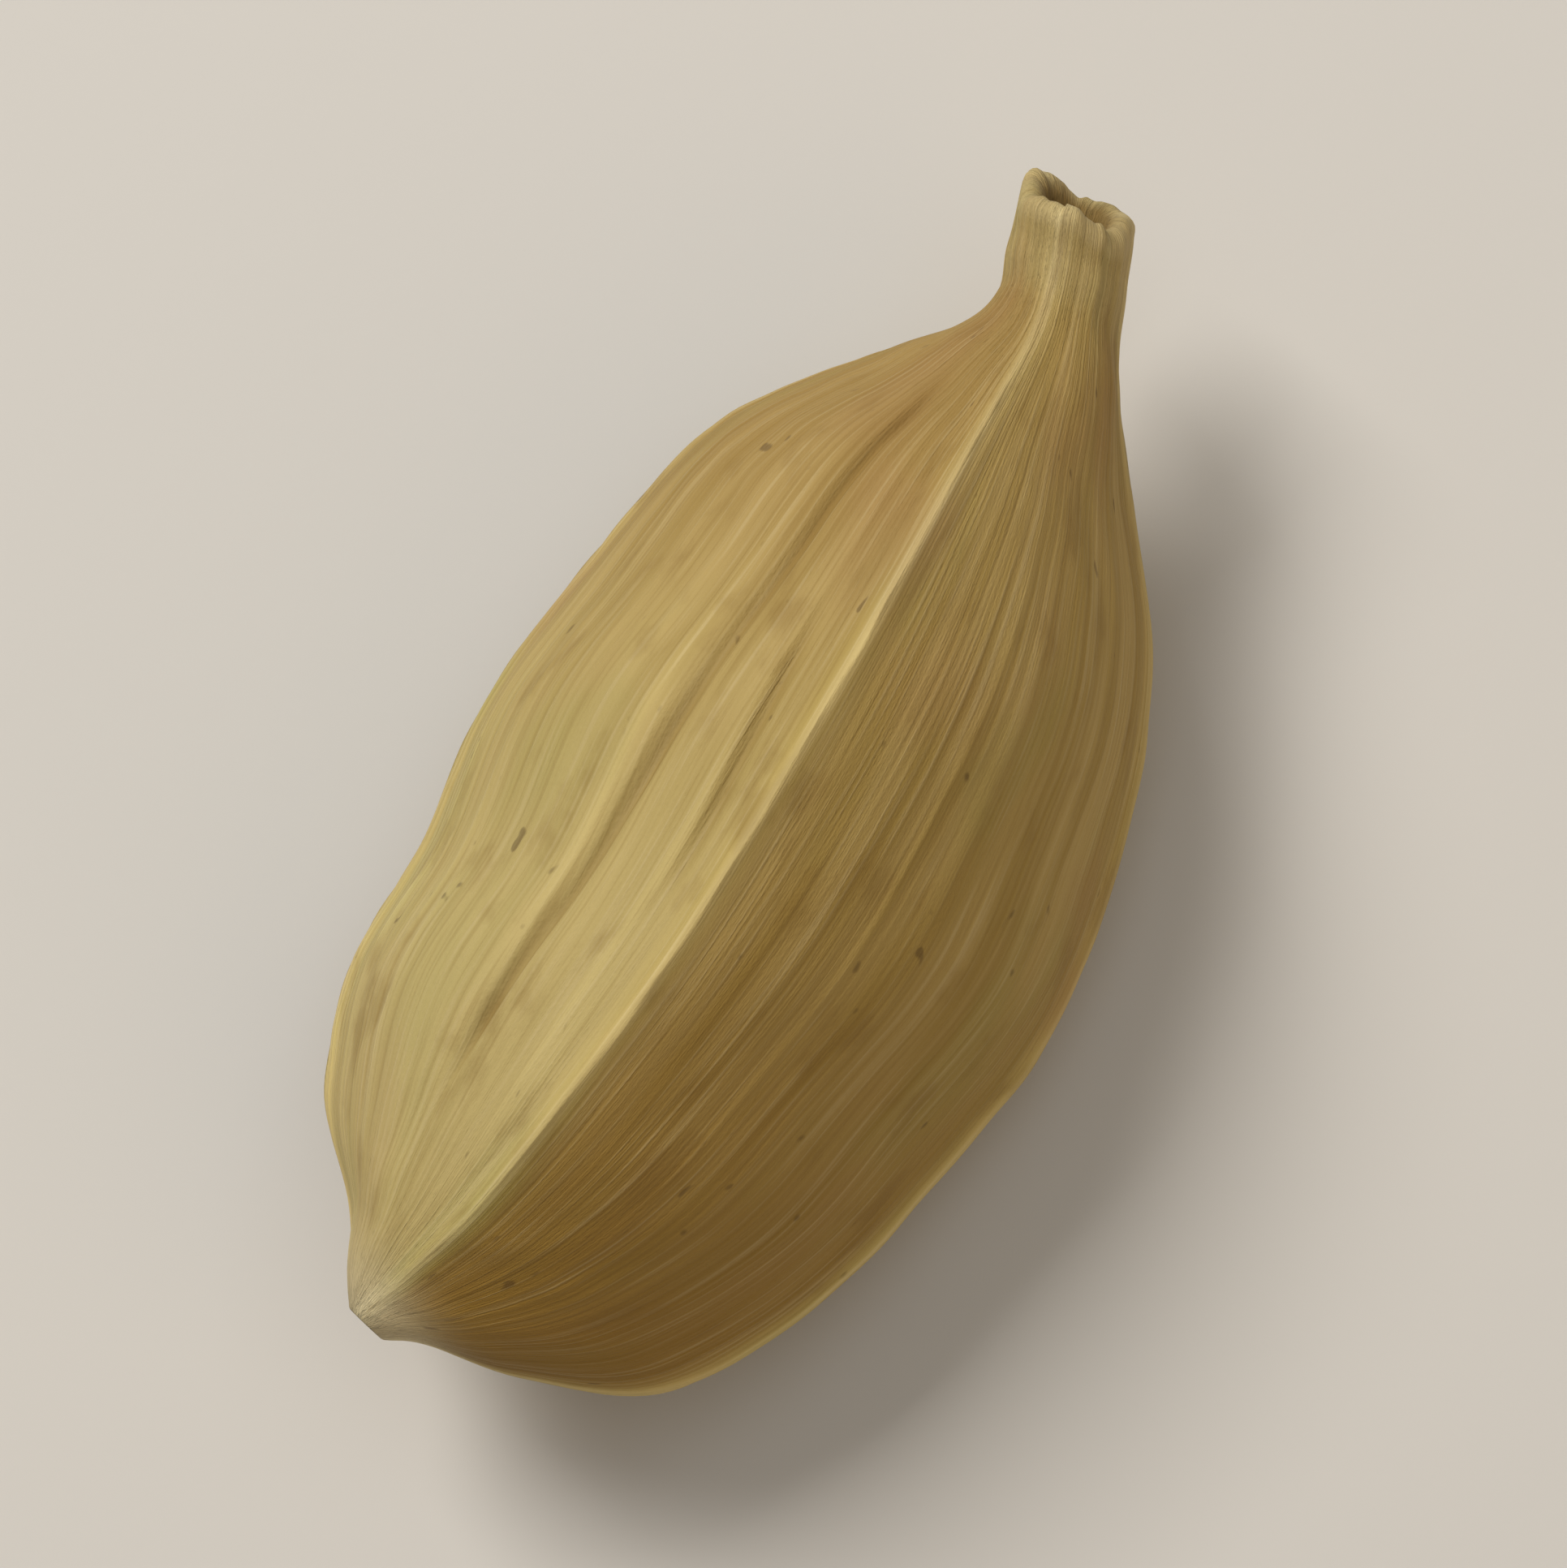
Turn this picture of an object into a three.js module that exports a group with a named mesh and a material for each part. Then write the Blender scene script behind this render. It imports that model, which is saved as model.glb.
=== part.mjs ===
// A green cardamom pod: the dried, three-valved fruit, grown as one closed husk.
// It lies on one valve with the seam between the other two upwards. +X runs from the stalk nib
// to the withered flower stub, +Y is the left side seen from the nib, +Z is up, in millimetres.

import * as THREE from "three";

// Driving dimensions: the finished husk fills exactly this box
const LENGTH = 15.0;
const WIDTH = 7.5;
const HEIGHT = 6.3;

// Relief on the husk
const SEAM_RIDGE = 0.1; // how far a seam stands proud of the valves beside it
const SEAM_SPREAD = 0.12; // distance from the seam at which its ridge has sunk by half
const CREST_ROUNDING = 0.35; // 0 gives a knife edge, 1 a soft roll
const RIBS_PER_VALVE = 9;
const RIB_HEIGHT = 0.055;
const RIB_STRENGTHS = [0.4, 1, 0.2]; // of the left, the lower and the right valve
const RIB_SPREAD = 0.024; // half width of a rib, as a share of the valve's width
const RIB_WANDER = 0.008; // how far a rib strays sideways, as a share of the valve's width
const SEED_SWELL = 0.04; // how far the seeds push the husk out
const SEED_PITCH = 3.3; // from one swelling to the next along the pod

// Creases on the left valve, each from one station to another at a share of the valve's width
const CREASES = [
  { from: 4.2, to: 5.5, share: 0.284, drift: -0.028, depth: 0.17, spread: 0.02 },
  { from: 6.2, to: 8.2, share: 0.243, drift: -0.02, depth: 0.14, spread: 0.02 },
  { from: 5.7, to: 6.3, share: 0.082, drift: 0.013, depth: 0.12, spread: 0.016 },
];

// Curve of the valves, as the rise of the arc over the chord between two seams
const UPPER_BULGE = 0.135;
const LOWER_BULGE = 0.215;
const ROUND_BULGE = 0.27; // near that of a true circle, for the nib and the stub

// The flat spot that the pod rests on, the hollow in the end of the stub and the scar on the nib
const FLAT_DEPTH = 0.17; // how much of the lower valve the flat spot takes off
const STUB_WALL = 0.3;
const PIT_DEPTH = 0.45;
const SCAR_DEPTH = 0.06;

// The withered lip of the stub: how far its three lobes reach and how far it opens out
const LIP_REACH = 0.1;
const LIP_FLARE = 0.05;
const LIP_START = 12.1;

// Fineness of the mesh
const POINTS_PER_VALVE = 42;
const RINGS_PER_STATION = 3;
const SEAM_CROWDING = 0.4; // 0 spaces the points of a ring evenly, 1 packs them at the seams

// The three seams from the nib to the rim of the stub, as shares of half the length, half the
// width and the whole height. Points of equal rank lie in one section of the pod.
const KEEL_SEAM = [
  [-0.992, 0.266, 0.503],
  [-0.960, 0.235, 0.540],
  [-0.893, 0.160, 0.627],
  [-0.773, 0.053, 0.746],
  [-0.573, -0.053, 0.889],
  [-0.293, -0.133, 0.976],
  [0.000, -0.147, 1.000],
  [0.267, -0.120, 0.944],
  [0.493, -0.064, 0.817],
  [0.667, -0.013, 0.675],
  [0.773, 0.019, 0.600],
  [0.835, 0.048, 0.580],
  [0.895, 0.085, 0.600],
  [0.942, 0.118, 0.630],
];
const LEFT_SEAM = [
  [-0.986, 0.316, 0.456],
  [-0.944, 0.379, 0.444],
  [-0.853, 0.493, 0.413],
  [-0.727, 0.747, 0.349],
  [-0.533, 0.912, 0.286],
  [-0.320, 0.933, 0.254],
  [-0.067, 1.000, 0.238],
  [0.253, 0.925, 0.246],
  [0.463, 0.815, 0.286],
  [0.645, 0.512, 0.362],
  [0.752, 0.262, 0.418],
  [0.820, 0.213, 0.445],
  [0.893, 0.258, 0.468],
  [0.988, 0.282, 0.500],
];
const RIGHT_SEAM = [
  [-0.999, 0.202, 0.441],
  [-0.972, 0.080, 0.441],
  [-0.940, -0.215, 0.421],
  [-0.850, -0.575, 0.365],
  [-0.640, -0.808, 0.286],
  [-0.333, -0.949, 0.238],
  [-0.067, -1.000, 0.225],
  [0.227, -0.891, 0.238],
  [0.467, -0.707, 0.286],
  [0.653, -0.427, 0.357],
  [0.760, -0.267, 0.413],
  [0.840, -0.165, 0.436],
  [0.915, -0.104, 0.455],
  [0.996, -0.025, 0.488],
];
const STATIONS = KEEL_SEAM.length;
const BELLY_START = 3;
const BELLY_END = 8.5;
const STUB_START = 11;

const GOLDEN_SHARE = 0.6180339887;

// A value from 0 to 1 for each whole number, scattered evenly
function scatter(index) {
  return (index * GOLDEN_SHARE) % 1;
}

function bell(distance, spread) {
  return Math.exp(-((distance / spread) ** 2));
}

// A fold seen in section: 1 on its crest, with flanks that die away
function fold(distance, spread) {
  return Math.exp(CREST_ROUNDING - Math.hypot(distance / spread, CREST_ROUNDING));
}

// 1 between two stations, falling smoothly to 0 over the fade on either side
function windowOf(station, from, to, fade) {
  const rise = THREE.MathUtils.smoothstep(station, from - fade, from);
  return rise * (1 - THREE.MathUtils.smoothstep(station, to, to + fade));
}

function seamCurve(shares) {
  const points = shares.map(
    ([x, y, z]) => new THREE.Vector3((x * LENGTH) / 2, (y * WIDTH) / 2, z * HEIGHT),
  );
  return new THREE.CatmullRomCurve3(points, false, "catmullrom", 0.5);
}

const seams = [KEEL_SEAM, LEFT_SEAM, RIGHT_SEAM].map(seamCurve);
const LEFT_VALVE = 0;
const LOWER_VALVE = 1;

function seamPoint(seam, station) {
  return seams[seam % seams.length].getPoint(station / (STATIONS - 1));
}

function sectionCentre(station) {
  const centre = new THREE.Vector3();
  for (let seam = 0; seam < seams.length; seam += 1) centre.add(seamPoint(seam, station));
  return centre.divideScalar(seams.length);
}

// How strongly a valve is arched at a station: round at both ends, flatter along the belly
function bulge(valve, station) {
  const belly = valve === LOWER_VALVE ? LOWER_BULGE : UPPER_BULGE;
  const flatness = windowOf(station, BELLY_START, BELLY_END, 2.5);
  return THREE.MathUtils.lerp(ROUND_BULGE, belly, flatness);
}

// Fine ribs that run from end to end, each with its own height and its own slow wander
function ribRelief(valve, station, share) {
  let height = 0;
  for (let rib = 0; rib < RIBS_PER_VALVE; rib += 1) {
    const own = scatter(valve * RIBS_PER_VALVE + rib + 1);
    const other = scatter(31 + 3 * (valve * RIBS_PER_VALVE + rib));
    const wave = Math.sin(2 * Math.PI * (own + (station / STATIONS) * (1 + other)));
    const middle = (rib + 1 + 0.5 * (own - 0.5)) / (RIBS_PER_VALVE + 1) + RIB_WANDER * wave;
    const swell = 0.6 + 0.4 * Math.sin(2 * Math.PI * (other + station / 4.5));
    height += RIB_HEIGHT * (0.3 + 1.4 * own ** 2) * swell * bell(share - middle, RIB_SPREAD);
  }
  return RIB_STRENGTHS[valve] * height;
}

function creaseRelief(station, share) {
  let height = 0;
  for (const crease of CREASES) {
    const along = (station - crease.from) / (crease.to - crease.from);
    const middle = crease.share + crease.drift * along;
    const strength = windowOf(station, crease.from, crease.to, 0.9);
    height -= crease.depth * strength * bell(share - middle, crease.spread);
  }
  return height;
}

// Slanting rows of low swellings over the seeds
function seedRelief(valve, x, share) {
  const phase = x / SEED_PITCH + 0.5 * share + scatter(valve + 5);
  return SEED_SWELL * Math.sin(Math.PI * share) * Math.sin(2 * Math.PI * phase);
}

function reliefAt(valve, station, share, chord, x) {
  const size = Math.min(1, chord / (0.6 * WIDTH));
  const fromSeam = Math.min(share, 1 - share) * chord;
  const seam = SEAM_RIDGE * (0.35 + 0.65 * size) * fold(fromSeam, SEAM_SPREAD * (0.6 + 0.4 * size));
  const body = windowOf(station, 2, STUB_START - 1, 1.5);
  const creases = valve === LEFT_VALVE ? creaseRelief(station, share) : 0;
  const ribs = size * ribRelief(valve, station, share) * THREE.MathUtils.smoothstep(station, 0, 2);
  return seam + ribs + body * (creases + seedRelief(valve, x, share));
}

// Three unequal lobes round the lip, from a share of a full turn
function lobeAt(turn) {
  return 0.7 * Math.cos(2 * Math.PI * (3 * turn - 0.95)) + 0.3 * Math.cos(2 * Math.PI * (turn - 0.4));
}

// The lip of the stub, pulled out into lobes and opened a little
function lipShift(valve, station, share, radial) {
  const axis = sectionCentre(STATIONS - 1).sub(sectionCentre(STATIONS - 2)).normalize();
  const strength = THREE.MathUtils.smoothstep(station, LIP_START, STATIONS - 1);
  const lobe = lobeAt((valve + share) / seams.length);
  const reach = axis.multiplyScalar(LIP_REACH * strength * lobe);
  return reach.addScaledVector(radial, LIP_FLARE * strength);
}

// A point of the husk: the valve's arc over the chord between its seams, and the relief on it
function huskPoint(valve, station, share) {
  const start = seamPoint(valve, station);
  const end = seamPoint(valve + 1, station);
  const centre = sectionCentre(station);
  const across = end.clone().sub(start);
  const chord = across.length();
  const outwards = start.clone().lerp(end, 0.5).sub(centre);
  outwards.projectOnPlane(across.clone().normalize()).normalize();
  const arch = 1 - (2 * share - 1) ** 2;
  const point = start.lerp(end, share).addScaledVector(outwards, bulge(valve, station) * chord * arch);
  const radial = point.clone().sub(centre).normalize();
  const lip = lipShift(valve, station, share, radial);
  return point.addScaledVector(radial, reliefAt(valve, station, share, chord, point.x)).add(lip);
}

function huskRing(station) {
  const ring = [];
  for (let valve = 0; valve < seams.length; valve += 1) {
    for (let step = 0; step < POINTS_PER_VALVE; step += 1) {
      const even = step / POINTS_PER_VALVE;
      const share = even - (SEAM_CROWDING * Math.sin(2 * Math.PI * even)) / (2 * Math.PI);
      ring.push(huskPoint(valve, station, share));
    }
  }
  return ring;
}

function shrunkRing(ring, centre, scale, shift) {
  return ring.map((point) => point.clone().sub(centre).multiplyScalar(scale).add(centre).add(shift));
}

// The lip of the stub turned in, and the pit where the flower stood
function pitRings(rim) {
  const centre = sectionCentre(STATIONS - 1);
  const axis = centre.clone().sub(sectionCentre(STATIONS - 2)).normalize();
  const radius = rim.reduce((sum, point) => sum + point.distanceTo(centre), 0) / rim.length;
  const inner = 1 - STUB_WALL / radius;
  return [
    shrunkRing(rim, centre, 0.85 + 0.15 * inner, axis.clone().multiplyScalar(0.3 * STUB_WALL)),
    shrunkRing(rim, centre, (1 + inner) / 2, axis.clone().multiplyScalar(0.45 * STUB_WALL)),
    shrunkRing(rim, centre, inner, axis.clone().multiplyScalar(0.1 * STUB_WALL)),
    shrunkRing(rim, centre, 0.8 * inner, axis.clone().multiplyScalar(-0.6 * PIT_DEPTH)),
    shrunkRing(rim, centre, 0.4 * inner, axis.clone().multiplyScalar(-PIT_DEPTH)),
  ];
}

function mean(points) {
  const sum = points.reduce((total, point) => total.add(point), new THREE.Vector3());
  return sum.divideScalar(points.length);
}

// One closed skin over all rings, with a single point at each end
function skinOver(rings, firstPoint, lastPoint) {
  const around = rings[0].length;
  const points = [...rings.flat(), firstPoint, lastPoint];
  const first = points.length - 2;
  const last = points.length - 1;
  const faces = [];
  for (let i = 0; i < around; i += 1) {
    const next = (i + 1) % around;
    faces.push(first, i, next);
    for (let ring = 0; ring < rings.length - 1; ring += 1) {
      const here = ring * around;
      const there = here + around;
      faces.push(here + i, there + i, here + next);
      faces.push(here + next, there + i, there + next);
    }
    const end = (rings.length - 1) * around;
    faces.push(last, end + next, end + i);
  }
  const geometry = new THREE.BufferGeometry().setFromPoints(points);
  geometry.setIndex(faces);
  return geometry;
}

// Pares the flat spot, then fits the husk to its length, width and height on the ground
function settle(geometry) {
  const place = geometry.getAttribute("position");
  geometry.computeBoundingBox();
  const floor = geometry.boundingBox.min.z + FLAT_DEPTH;
  for (let i = 0; i < place.count; i += 1) place.setZ(i, Math.max(place.getZ(i), floor));
  geometry.computeBoundingBox();
  const { min, max } = geometry.boundingBox;
  geometry.translate(-(min.x + max.x) / 2, -(min.y + max.y) / 2, -min.z);
  geometry.scale(LENGTH / (max.x - min.x), WIDTH / (max.y - min.y), HEIGHT / (max.z - min.z));
  geometry.computeVertexNormals();
  return geometry;
}

function makeHusk() {
  const rings = [];
  const steps = (STATIONS - 1) * RINGS_PER_STATION;
  for (let step = 0; step <= steps; step += 1) rings.push(huskRing(step / RINGS_PER_STATION));
  const scar = mean(rings[0]).add(new THREE.Vector3(SCAR_DEPTH, 0, 0));
  rings.push(...pitRings(rings.at(-1)));
  return settle(skinOver(rings, scar, mean(rings.at(-1))));
}

const huskSkin = new THREE.MeshStandardMaterial({
  name: "dried husk",
  color: 0xb2a066,
  roughness: 0.62,
  metalness: 0,
});

const husk = new THREE.Mesh(makeHusk(), huskSkin);
husk.name = "cardamom_pod";

const pod = new THREE.Group();
pod.add(husk);

export default pod;
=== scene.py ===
"""A dried green cardamom pod in a plain studio.

The pod is one husk of three valves that grew together along three raised seams. Its skin is
lofted over those seams in millimetres, fitted to the frame's own box, and dressed as a papery
dried husk with long fibres. +X runs from the stalk nib to the withered flower stub, +Y is the left
side seen from the nib, and +Z is up.
"""

import logging
import math
from dataclasses import dataclass, field
from enum import Enum
from typing import Any

import bpy
import numpy as np
from mathutils import Matrix, Vector


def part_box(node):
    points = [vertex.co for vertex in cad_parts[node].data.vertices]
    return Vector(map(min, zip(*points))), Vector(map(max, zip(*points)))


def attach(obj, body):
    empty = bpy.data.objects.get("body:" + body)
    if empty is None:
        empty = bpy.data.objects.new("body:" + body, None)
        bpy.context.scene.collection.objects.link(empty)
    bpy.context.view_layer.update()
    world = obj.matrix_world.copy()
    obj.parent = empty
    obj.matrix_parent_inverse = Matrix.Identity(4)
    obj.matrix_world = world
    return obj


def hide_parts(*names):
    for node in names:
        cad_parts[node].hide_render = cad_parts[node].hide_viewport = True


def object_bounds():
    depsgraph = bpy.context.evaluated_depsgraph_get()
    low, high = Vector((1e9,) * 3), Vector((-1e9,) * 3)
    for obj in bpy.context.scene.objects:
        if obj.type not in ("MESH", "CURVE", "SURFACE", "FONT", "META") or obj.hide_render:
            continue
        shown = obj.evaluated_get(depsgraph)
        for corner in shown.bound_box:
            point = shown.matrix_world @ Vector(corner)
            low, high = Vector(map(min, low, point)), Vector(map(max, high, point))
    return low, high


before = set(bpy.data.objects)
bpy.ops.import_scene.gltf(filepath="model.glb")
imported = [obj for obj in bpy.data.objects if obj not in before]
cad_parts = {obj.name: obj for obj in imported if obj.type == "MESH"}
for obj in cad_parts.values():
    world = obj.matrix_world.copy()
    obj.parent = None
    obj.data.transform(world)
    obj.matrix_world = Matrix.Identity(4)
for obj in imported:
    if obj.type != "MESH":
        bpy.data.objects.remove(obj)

log = logging.getLogger("cardamom")

CAD_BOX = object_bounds()
BODY = "root"
HUSK_NODE = "cardamom_pod"
MM = 0.001

# The three seams from the nib to the rim of the stub, as shares of half the length, half the
# width and the whole height. Points of equal rank lie in one section of the pod.
KEEL_SEAM = (
    (-0.992, 0.266, 0.503), (-0.960, 0.235, 0.540), (-0.893, 0.160, 0.627),
    (-0.773, 0.053, 0.746), (-0.573, -0.053, 0.889), (-0.293, -0.133, 0.976),
    (0.000, -0.147, 1.000), (0.267, -0.120, 0.944), (0.493, -0.064, 0.817),
    (0.667, -0.013, 0.675), (0.773, 0.019, 0.600), (0.835, 0.048, 0.580),
    (0.895, 0.085, 0.600), (0.942, 0.118, 0.630),
)
LEFT_SEAM = (
    (-0.986, 0.316, 0.456), (-0.944, 0.379, 0.444), (-0.853, 0.493, 0.413),
    (-0.727, 0.747, 0.349), (-0.533, 0.912, 0.286), (-0.320, 0.933, 0.254),
    (-0.067, 1.000, 0.238), (0.253, 0.925, 0.246), (0.463, 0.815, 0.286),
    (0.645, 0.512, 0.362), (0.752, 0.262, 0.418), (0.820, 0.213, 0.445),
    (0.893, 0.258, 0.468), (0.988, 0.282, 0.500),
)
RIGHT_SEAM = (
    (-0.999, 0.202, 0.441), (-0.972, 0.080, 0.441), (-0.940, -0.215, 0.421),
    (-0.850, -0.575, 0.365), (-0.640, -0.808, 0.286), (-0.333, -0.949, 0.238),
    (-0.067, -1.000, 0.225), (0.227, -0.891, 0.238), (0.467, -0.707, 0.286),
    (0.653, -0.427, 0.357), (0.760, -0.267, 0.413), (0.840, -0.165, 0.436),
    (0.915, -0.104, 0.455), (0.996, -0.025, 0.488),
)

GOLDEN_SHARE = 0.6180339887
SEAM_READINGS = 800  # how finely the seams are measured
FIBRE_SEED = 40
STRAY_SEED = 50
FADE_SEED = 60
WEAR_SEED = 10
FRAY_SEED = 11


class Valve(Enum):
    """The three valves, each with the rank of the seam that it starts at."""

    LEFT = 0
    LOWER = 1
    RIGHT = 2


def linear_rgba(code: str) -> tuple[float, float, float, float]:
    """Turns an sRGB hex code into a linear colour with full alpha.

    Args:
        code: The colour, such as "#b39d60".

    Returns:
        Red, green, blue and alpha from 0 to 1.
    """
    parts = [int(code[i : i + 2], 16) / 255 for i in (1, 3, 5)]
    red, green, blue = (c / 12.92 if c <= 0.04045 else ((c + 0.055) / 1.055) ** 2.4 for c in parts)
    return red, green, blue, 1.0


def add_node(
    tree: bpy.types.NodeTree,
    kind: str,
    settings: dict[str, Any] | None = None,
    inputs: dict[str | int, Any] | None = None,
) -> bpy.types.Node:
    """Adds one node, sets it up, and links or fills its inputs.

    Args:
        tree: The node tree to add to.
        kind: The node's type, such as "ShaderNodeMix".
        settings: The node's own properties by name.
        inputs: What goes into each input, by name or rank: a socket is linked, a value is set.

    Returns:
        The new node.
    """
    made = tree.nodes.new(kind)
    for name, value in (settings or {}).items():
        setattr(made, name, value)
    for name, value in (inputs or {}).items():
        if isinstance(value, bpy.types.NodeSocket):
            tree.links.new(value, made.inputs[name])
        else:
            made.inputs[name].default_value = value
    return made


def smoothstep(value: np.ndarray, low: float, high: float) -> np.ndarray:
    """Rises smoothly from 0 at low to 1 at high."""
    t = np.clip((value - low) / (high - low), 0, 1)
    return t * t * (3 - 2 * t)


def window(value: np.ndarray, low: float, high: float, fade: float) -> np.ndarray:
    """Is 1 from low to high and falls smoothly to 0 over the fade on either side."""
    return smoothstep(value, low - fade, low) * (1 - smoothstep(value, high, high + fade))


def bell(distance: np.ndarray, spread: float) -> np.ndarray:
    """Is 1 at no distance, and has all but gone at twice the spread."""
    return np.exp(-((distance / spread) ** 2))


def fold(distance: np.ndarray, spread: float | np.ndarray, rounding: float) -> np.ndarray:
    """Shapes a fold in section: 1 on its crest, with flanks that die away.

    Args:
        distance: How far from the crest, in any unit.
        spread: How far the flanks reach, in the same unit.
        rounding: 0 for a knife edge, 1 for a soft roll.

    Returns:
        The height of the fold, from 0 to 1.
    """
    return np.exp(rounding - np.hypot(distance / spread, rounding))


def scatter(index: int) -> float:
    """Gives each whole number a value from 0 to 1, evenly scattered."""
    return (index * GOLDEN_SHARE) % 1


def soft_noise(x: np.ndarray, y: np.ndarray | float, seed: int) -> np.ndarray:
    """Smooth value noise over a plane, with features one unit wide.

    Args:
        x: First coordinates.
        y: Second coordinates, of a shape that broadcasts with x.
        seed: Which noise it is.

    Returns:
        Values from -1 to 1, in the shape that x and y broadcast to.
    """
    side = 64
    lattice = np.random.default_rng(seed).uniform(-1, 1, (side, side))
    x, y = np.broadcast_arrays(x, y)
    column, row = np.floor(x).astype(int), np.floor(y).astype(int)
    s, t = x - column, y - row
    s, t = s * s * (3 - 2 * s), t * t * (3 - 2 * t)
    left, right = column % side, (column + 1) % side
    low, high = row % side, (row + 1) % side
    bottom = lattice[left, low] * (1 - s) + lattice[right, low] * s
    top = lattice[left, high] * (1 - s) + lattice[right, high] * s
    return bottom * (1 - t) + top * t


def follow(
    shares: tuple[tuple[float, float, float], ...], stations: np.ndarray, scale: np.ndarray
) -> np.ndarray:
    """Runs a smooth curve through a seam's points.

    Args:
        shares: The seam's points, as shares.
        stations: Where to read the curve: 0 is its first point, 1 its second.
        scale: Millimetres to a whole share, along each axis.

    Returns:
        One point in millimetres for each station.
    """
    points = np.array(shares) * scale
    points = np.vstack([2 * points[0] - points[1], points, 2 * points[-1] - points[-2]])
    span = np.clip(np.floor(stations).astype(int), 0, len(shares) - 2)
    t = (stations - span)[:, None]
    before, start, end, after = (points[span + k] for k in range(4))
    leave, arrive = (end - before) / 2, (after - start) / 2
    cubic = 2 * start - 2 * end + leave + arrive
    square = -3 * start + 3 * end - 2 * leave - arrive
    return start + leave * t + square * t**2 + cubic * t**3


@dataclass(frozen=True)
class Crease:
    """A crease on the left valve, in stations along the pod and shares across the valve.

    Its depth is in millimetres. Its middle moves sideways by the drift on its way.
    """

    start: float
    stop: float
    share: float
    drift: float
    depth: float
    spread: float


@dataclass(frozen=True)
class Wrinkle:
    """Soft, uneven relief: its height, its width across the pod and its length along it, in mm."""

    height: float
    across: float
    along: float
    seed: int

    def relief(self, across: np.ndarray, along: np.ndarray) -> np.ndarray:
        """Gives its heights at places across and along the pod, in millimetres."""
        return self.height * soft_noise(across / self.across, along / self.along, self.seed)


@dataclass(frozen=True)
class Grain:
    """A pattern's real width across the pod, how far it is drawn out along it, and its octaves."""

    across_mm: float
    stretch: float
    detail: float


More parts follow.
